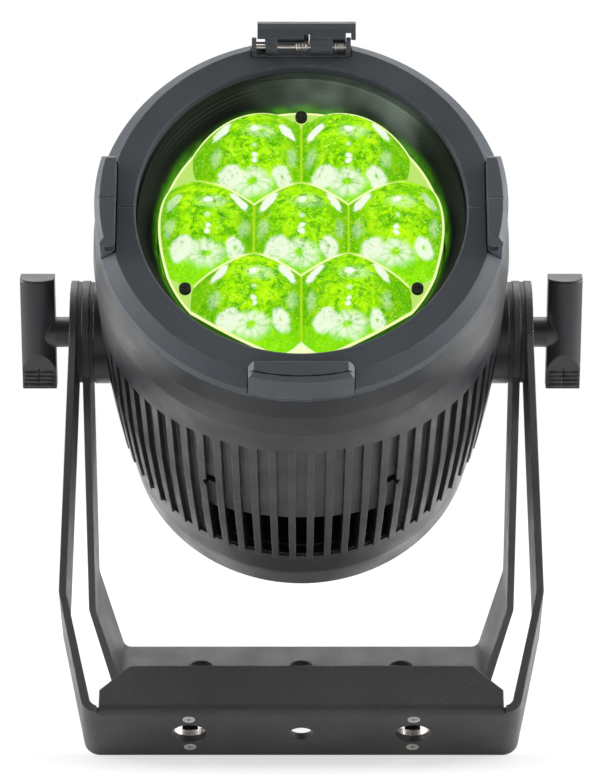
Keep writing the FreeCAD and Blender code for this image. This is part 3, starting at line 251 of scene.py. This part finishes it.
def ellipse(s, x, y, centre, size, tilt):
    """Distance from the middle of a tilted ellipse, 1 on its outline, and the angle round it."""
    away_x = s.math("SUBTRACT", x, centre[0])
    away_y = s.math("SUBTRACT", y, centre[1])
    cosine = math.cos(math.radians(tilt))
    sine = math.sin(math.radians(tilt))
    along = s.math("ADD", s.math("MULTIPLY", away_x, cosine / size[0]),
                   s.math("MULTIPLY", away_y, sine / size[0]))
    beside = s.math("SUBTRACT", s.math("MULTIPLY", away_y, cosine / size[1]),
                    s.math("MULTIPLY", away_x, sine / size[1]))
    return length(s, along, beside), s.math("ARCTAN2", beside, along)


def wandering(s, value, size, amount, stretch=None):
    """Value pushed about by noise, so that what repeats from lens to lens isn't the same."""
    push = s.math("SUBTRACT", s.noise(size, 3.0, 0.6, stretch), 0.5)
    return s.math("ADD", value, s.math("MULTIPLY", push, amount))


def painted_studio_reflections(s, colour, x, y, across, streaks):
    """Painted reflections of the studio's lamps in each dome: bright spots, slanted windows and
    umbrellas.
    A patch is a ragged ellipse of painted reflection: its middle, from the lens's middle, and half
    sizes are in mm."""
    ragged = s.noise(3 * MM, 3.0, 0.6)
    broken = s.span(streaks, 0.34, 0.52, 0.45, 1.0)
    pale = srgb(250, 255, 240)
    white = srgb(252, 255, 246)
    towards_rim = s.span(s.math("ABSOLUTE", across), 38.0, 74.0, 0.96, 0.4032)

    def patch(colour, centre, size, tilt, tone, strength, soft, ribs=0, eye=0.0):
        reach, angle = ellipse(s, x, y, centre, size, tilt)
        reach = s.math("ADD", reach, s.math("MULTIPLY", s.math("SUBTRACT", ragged, 0.5), soft))
        share = s.math("MULTIPLY", s.span(reach, 1.0 + soft, 1.0 - soft), strength)
        if tone is pale:
            share = s.math("MULTIPLY", share, broken)
        if ribs:
            wave = s.math("SINE", s.math("MULTIPLY", angle, float(ribs)))
            share = s.math("MULTIPLY", share, s.span(wave, -1.0, 0.4, 0.62, 1.0))
        if eye:
            share = s.math("MULTIPLY", share, s.span(reach, eye - 0.12, eye + 0.2))
        return s.blend(share, colour, tone)

    colour = patch(colour, (-1.0, -19.0), (10.0, 6.4), 0, pale, 0.88, 0.34, ribs=9, eye=0.24)
    colour = patch(colour, (-13.3, -15.9), (6.6, 6.0), 20, pale, 0.94, 0.2)
    colour = patch(colour, (15.3, -15.3), (4.9, 5.8), 10, pale, 0.94, 0.2, eye=0.12)
    colour = patch(colour, (3.2, 12.0), (7.2, 4.2), 0, pale, 0.42, 0.5, ribs=12, eye=0.2)
    for side in (-1, 1):
        colour = patch(colour, (side * 18.1, 14.2), (7.0, 2.7), 90 + side * 33, white,
                       towards_rim, 0.2)
        colour = patch(colour, (side * 20.8, -3.6), (4.8, 2.6), 84, pale, 0.3, 0.5)
    for height, size, strength in ((13.4, 2.3, 1.0), (2.2, 1.4, 0.5), (-4.6, 1.5, 1.0),
                                   (-7.9, 1.5, 1.0)):
        colour = patch(colour, (0.2, height), (size, size), 0, white, strength, 0.4)
    return colour


WALL_LIT = (119.0, 106.0)        # mm along the beam, where the painted green glow on the wall begins and is full
RING_HIGHLIGHT_SPAN = (121.0, 126.0)     # mm along the beam, where the painted ring highlights begin and are full


def barrel(name):
    """Satin black cone: painted cloudy grey reflections at the top, painted ring highlights by the
    front, and a painted green glow from the lens on the wall by the lens.
    """
    s = Shader(name)
    across, up, along = head_place(s)
    # Painted reflection: cloudy grey patches on the upper right of the wall.
    clouds = s.span(s.noise(42 * MM, 2.0, 0.5), 0.36, 0.6, 0.15, 0.8)
    right_hand = s.span(across, -40.0, 12.0)
    high = s.math("MULTIPLY", s.math("MULTIPLY", s.span(up, 40.0, 74.0), right_hand), clouds)
    ink = s.blend(s.noise(2 * MM, 4.0), srgb(16, 18, 20), srgb(28, 31, 34))
    colour = s.blend(high, ink, srgb(176, 186, 184))
    # Painted highlights: fine lighter lines round the wall near the front, stronger towards the
    # top.
    waves = s.span(s.math("SINE", s.math("MULTIPLY", along, 2.6)), 0.8, 1.0, 0.0, 0.6)
    ring_highlights = s.math("MULTIPLY", waves, s.span(along, *RING_HIGHLIGHT_SPAN))
    colour = s.blend(s.math("MULTIPLY", ring_highlights, s.span(up, 10.0, 60.0)), colour, srgb(104, 118, 98))
    # Painted light: green glow from the lens on the wall, in splashes, and none behind the glow
    # start.
    splash = s.span(s.noise(16 * MM, 3.0, 0.6), 0.4, 0.6, 0.3, 0.9)
    in_front = s.span(along, GLOW_START - 1.0, GLOW_START + 1.0)
    glow = s.math("MULTIPLY", s.math("MULTIPLY", s.span(along, *WALL_LIT), in_front), splash)
    return s.finish(colour, s.span(clouds, 0.0, 1.0, 0.28, 0.4), s.rounded(0.3 * MM),
                    Emission_Color=srgb(96, 196, 0), Emission_Strength=glow)


def lit_lens(name):
    """A cluster of lenses with the light on: lime green, with painted reflections of the studio in
    each dome.
    """
    s = Shader(name)
    across, up, along = head_place(s)
    x, y, reach, seam, radius = nearest_lens(s, across, up)

    streaks = s.noise(5 * MM, 8.0, 0.76, swirl=1.2)
    clouds = s.noise(10 * MM, 3.0, 0.6)
    specks = s.noise(0.9 * MM, 2.0, 0.5)
    colour = s.blend(s.span(clouds, 0.35, 0.65), srgb(124, 214, 0), srgb(172, 248, 0))
    colour = s.blend(s.span(streaks, 0.5, 0.62, 0.0, 0.9), colour, srgb(212, 255, 16))
    colour = s.blend(s.span(streaks, 0.49, 0.37, 0.0, 0.9), colour, srgb(66, 156, 0))
    side = s.span(s.math("ABSOLUTE", x), 9.0, 26.0, 0.0, 0.62)
    colour = s.blend(side, colour, srgb(84, 172, 0))
    low = s.span(y, -10.0, -26.0, 0.0, 0.7)
    colour = s.blend(low, colour, srgb(140, 236, 6))
    colour = s.blend(s.span(specks, 0.64, 0.7, 0.0, 0.9), colour, srgb(240, 254, 150))

    # Painted reflections of the studio's lamps, placed a little differently in each dome.
    flipped = (1, -1, 1)
    near_x = wandering(s, x, 9 * MM, 6.0)
    near_y = wandering(s, y, 10 * MM, 5.0, flipped)
    colour = painted_studio_reflections(s, colour, near_x, near_y, across, streaks)

    bright = srgb(250, 255, 186)
    line = s.blend(s.span(s.math("ABSOLUTE", x), 20.0, 24.0), bright, srgb(176, 226, 30))
    colour = s.blend(s.span(seam, 0.95, 0.35), colour, line)
    web = s.blend(s.span(up, -55.0, -66.0), srgb(196, 232, 116), srgb(252, 255, 206))
    colour = s.blend(s.span(reach, DOME_RIM, DOME_RIM + 0.5), colour, web)
    colour = s.blend(s.span(radius, LENS_RIM - 1.8, LENS_RIM - 1.3), colour, bright)
    colour = s.blend(s.span(radius, LENS_RIM - 0.35, LENS_RIM - 0.1), colour, srgb(40, 92, 0))
    depth = s.span(along, GLOW_START, PLATE_FACE, 0.15, 1.0)
    seen = s.add("LightPath").outputs["Is Camera Ray"]
    glow = s.math("MULTIPLY", depth, s.span(seen, 0.0, 1.0, 0.12, 1.0))
    return s.finish(srgb(4, 12, 0), 0.12, Emission_Color=colour, Emission_Strength=glow,
                    Specular_IOR_Level=0.01)


CHARCOAL = srgb(27, 29, 32)
SLATE = srgb(70, 75, 80)
YOKE_GREY = srgb(50, 50, 52)
WORN = srgb(132, 135, 140)


def finishes():
    """One material for each of the record's finish names, one for the bezel's rougher coat and
    one for the lens screws."""
    return {
        "can_paint": painted("can_paint", CHARCOAL, WORN, 0.5 * MM, 0.02 * MM, 0.38, sheen=0.42),
        "bezel_paint": painted("bezel_paint", SLATE, WORN, 0.7 * MM, 0.16 * MM, 0.6,
                               0.9 * MM, 0.2, 0.25),
        "drum_paint": painted("drum_paint", srgb(20, 21, 22), WORN, 0.6 * MM, 0.03 * MM, 0.5),
        "yoke_paint": painted("yoke_paint", YOKE_GREY, WORN, 1.1 * MM, 0.3 * MM, 0.5,
                              0.9 * MM, 0.3),
        "clip_plastic": painted("clip_plastic", SLATE, WORN, 0.45 * MM, 0.03 * MM, 0.55),
        "handle_plastic": painted("handle_plastic", srgb(36, 37, 41), WORN, 0.5 * MM,
                                  0.02 * MM, 0.4, 0.9 * MM),
        "barrel_black": barrel("barrel_black"),
        "button_rubber": rubber("button_rubber", srgb(40, 41, 44)),
        "friction_rubber": painted("friction_rubber", srgb(42, 42, 44), WORN, 0.5 * MM,
                                   0.03 * MM, 0.6, 0.4 * MM),
        "cable_sheath": rubber("cable_sheath", srgb(30, 30, 32)),
        "dark_steel": metal("dark_steel", srgb(38, 37, 36), 0.4),
        # The pale edge colour here is a painted glint, not wear.
        "black_screw": painted("black_screw", srgb(26, 30, 24), srgb(206, 216, 190), 0.5 * MM,
                               0.02 * MM, 0.3, 0.5 * MM),
        "bright_steel": metal("bright_steel", srgb(214, 208, 200), 0.34),
        "bronze": metal("bronze", srgb(176, 134, 84), 0.35),
        "alloy": metal("alloy", srgb(72, 72, 76), 0.5),
        "board": board("board"),
        "emitter": emitter("emitter"),
        "window": clear("window", srgb(40, 44, 48), 0.05, 1.2, 0.02),
        "glass": clear("glass", srgb(252, 255, 250), 0.02, 0.12, 0.001),
        "lens": lit_lens("lens"),
    }


RECOATED = {"bezel_upper": "bezel_paint", "bezel_lower": "bezel_paint",
            "lens_screws": "black_screw"}


def paint_nodes():
    """The record's finish for each node, but its own one for a node that is coated again."""
    made = finishes()
    for name, node in NODES.items():
        for slot in node.material_slots:
            finish = RECOATED.get(name, slot.material.name.split(".")[0])
            slot.material = made[finish]


# ---- studio --------------------------------------------------------------------------------
LAMP_TARGET = (0, 0, 0.2)


def white_world():
    """Soft white surroundings: pale to the eye, darker in front so that the can stays dark."""
    world = bpy.data.worlds.new("studio")
    world.use_nodes = True
    tree = world.node_tree
    tree.nodes.clear()
    place = tree.nodes.new("ShaderNodeTexCoord")
    parts = tree.nodes.new("ShaderNodeSeparateXYZ")
    tree.links.new(place.outputs["Generated"], parts.inputs[0])
    front = tree.nodes.new("ShaderNodeMapRange")
    front.interpolation_type = "SMOOTHSTEP"
    tree.links.new(parts.outputs["Y"], front.inputs["Value"])
    for key, value in (("From Min", -0.9), ("From Max", 0.3), ("To Min", 0.06), ("To Max", 1.1)):
        front.inputs[key].default_value = value
    seen = tree.nodes.new("ShaderNodeLightPath")
    strength = tree.nodes.new("ShaderNodeMix")
    tree.links.new(seen.outputs["Is Camera Ray"], strength.inputs["Factor"])
    tree.links.new(front.outputs[0], strength.inputs["A"])
    strength.inputs["B"].default_value = 1.0
    background = tree.nodes.new("ShaderNodeBackground")
    background.inputs["Color"].default_value = (1, 1, 1, 1)
    tree.links.new(strength.outputs[0], background.inputs["Strength"])
    output = tree.nodes.new("ShaderNodeOutputWorld")
    tree.links.new(background.outputs[0], output.inputs["Surface"])
    bpy.context.scene.world = world


def pale_floor():
    """White paper floor: shaded near the light, shining further out so that it has no edge."""
    bpy.ops.mesh.primitive_circle_add(vertices=96, radius=30.0, fill_type="NGON")
    floor = bpy.context.object
    floor.name = "floor"
    s = Shader("floor_paint")
    distance = s.vector("LENGTH", s.place)
    apart = s.add("SeparateXYZ", {"Vector": s.place})
    ahead = s.span(apart.outputs["Y"], -0.08, -0.24)
    beside = s.span(s.math("ABSOLUTE", apart.outputs["X"]), 0.3, 1.1)
    open_floor = s.math("MAXIMUM", s.math("MAXIMUM", ahead, beside), s.span(distance, 1.5, 3.0))
    paint = s.add("BsdfDiffuse", {"Color": (0.9, 0.9, 0.9, 1)}).outputs[0]
    white = s.add("Emission", {"Color": (1, 1, 1, 1), "Strength": 1.0}).outputs[0]
    seen = s.add("LightPath").outputs["Is Camera Ray"]
    shown = s.math("MULTIPLY", seen, s.span(distance, 0.3, 1.6, 0.66, 1.0))
    bounced = s.math("MULTIPLY", s.math("SUBTRACT", 1.0, seen), open_floor)
    share = s.math("ADD", shown, bounced)
    both = s.add("MixShader", {0: share, 1: paint, 2: white}).outputs[0]
    s.put(s.output.inputs["Surface"], both)
    floor.data.materials.append(s.material)


def softbox(name, place, size, watts):
    """A rectangular lamp that looks at the middle of the light."""
    light = bpy.data.lights.new(name, "AREA")
    light.shape = "RECTANGLE"
    light.size, light.size_y = size
    light.energy = watts
    lamp = bpy.data.objects.new(name, light)
    lamp.location = place
    aim = Vector(LAMP_TARGET) - Vector(place)
    lamp.rotation_euler = aim.to_track_quat("-Z", "Y").to_euler()
    bpy.context.scene.collection.objects.link(lamp)


def lights():
    """Two tall boxes at the sides and a wide one above and behind."""
    softbox("left_box", (-1.5, 0.05, 0.5), (0.9, 1.4), 30)
    softbox("right_box", (1.5, 0.0, 0.5), (0.9, 1.4), 34)
    softbox("top_box", (0, 1.0, 1.9), (2.0, 1.2), 26)


CAMERA_DISTANCE = 2.24
CAMERA_HEIGHT_ANGLE = 4.0        # degrees above the level
LENS_LENGTH = 181.16             # millimetres
SHIFT = (0.0048, -0.0716)          # share of the longer side of the picture


def camera():
    """Nearly level, a little above the tilt axis and straight ahead of the base."""
    data = bpy.data.cameras.new("camera")
    data.lens = LENS_LENGTH
    data.shift_x, data.shift_y = SHIFT
    eye = bpy.data.objects.new("camera", data)
    tilt = math.radians(CAMERA_HEIGHT_ANGLE)
    back = Vector((0, -math.cos(tilt), math.sin(tilt)))
    eye.location = PIVOT + back * CAMERA_DISTANCE
    eye.rotation_euler = (-back).to_track_quat("-Z", "Y").to_euler()
    bpy.context.scene.collection.objects.link(eye)
    bpy.context.scene.camera = eye


paint_nodes()
white_world()
pale_floor()
lights()
camera()
bpy.context.scene.view_settings.view_transform = "Standard"
